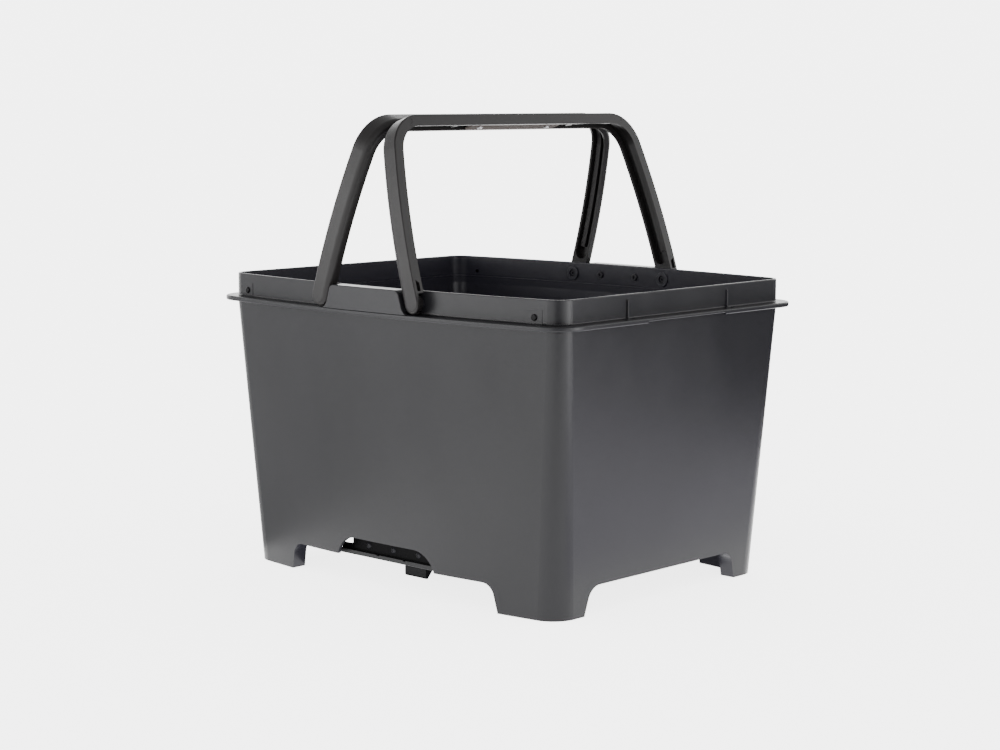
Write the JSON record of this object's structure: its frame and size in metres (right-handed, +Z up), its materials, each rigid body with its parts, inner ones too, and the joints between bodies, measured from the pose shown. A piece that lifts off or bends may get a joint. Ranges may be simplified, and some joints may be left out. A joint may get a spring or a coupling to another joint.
{
  "type": "carry crate",
  "caption": "Tapered open plastic crate with a flanged rim, two swinging carry handles that meet over the middle, and a latching rack adapter under its floor.",
  "frame": {"origin": "middle of the crate's footprint, on the plane of the soles of its four feet", "axes": "+X along the long handle walls, to the right hinge axis; front wall faces -Y (the side with the adapter's latch); +Z up"},
  "size_m": [0.3988, 0.3284, 0.3859],
  "materials": {
    "crate_plastic": "fine satin texture",
    "handle_plastic": "fine satin texture",
    "grip_plastic": "satin",
    "bush_plastic": "smooth",
    "stud_plastic": "glossy",
    "adapter_plastic": "satin",
    "rail_plastic": "satin",
    "latch_plastic": "satin",
    "screw_black": "black oxide",
    "screw_steel": "zinc plated",
    "spring_steel": "drawn wire"
  },
  "bodies": {
    "crate": {"tub": "crate_plastic", "front_hinge_panel": "crate_plastic", "rear_hinge_panel": "crate_plastic", "hinge_panel_screws": "screw_black", "pivot_bush_front_left": "bush_plastic", "pivot_bush_front_right": "bush_plastic", "pivot_bush_rear_left": "bush_plastic", "pivot_bush_rear_right": "bush_plastic", "snap_stud_front_left": "stud_plastic", "snap_stud_front_right": "stud_plastic", "snap_stud_rear_left": "stud_plastic", "snap_stud_rear_right": "stud_plastic", "adapter_plate": "adapter_plastic", "adapter_screws": "screw_steel", "front_bracket": "adapter_plastic", "bracket_screws": "screw_black", "front_rail": "rail_plastic", "rear_hook_left": "adapter_plastic", "rear_hook_right": "adapter_plastic", "hook_screws": "screw_steel", "latch_pin": "screw_steel", "latch_spring": "spring_steel"},
    "left_handle": {"left_bail": "handle_plastic", "left_grip": "grip_plastic", "left_grip_screws": "screw_steel", "left_pivot_screws": "screw_black"},
    "right_handle": {"right_bail": "handle_plastic", "right_grip": "grip_plastic", "right_grip_screws": "screw_steel", "right_pivot_screws": "screw_black"},
    "latch": {"latch_hook": "latch_plastic"}
  },
  "joints": [
    {"name": "right_handle_hinge", "type": "hinge", "parent": "crate", "child": "right_handle", "pos_m": [0.0523, 0, 0.2401], "axis": [0, 1, 0], "range_deg": [0, 106.95]},
    {"name": "left_handle_hinge", "type": "hinge", "parent": "crate", "child": "left_handle", "pos_m": [-0.0523, 0, 0.2401], "axis": [0, -1, 0], "range_deg": [0, 106.95]},
    {"name": "latch_hinge", "type": "hinge", "parent": "crate", "child": "latch", "pos_m": [0, -0.101, 0.033], "axis": [-1, 0, 0], "range_deg": [0, 14], "stiffness_Nm_per_rad": 0.1, "springref_deg": -11.46, "deforming": ["latch_spring"]}
  ]
}
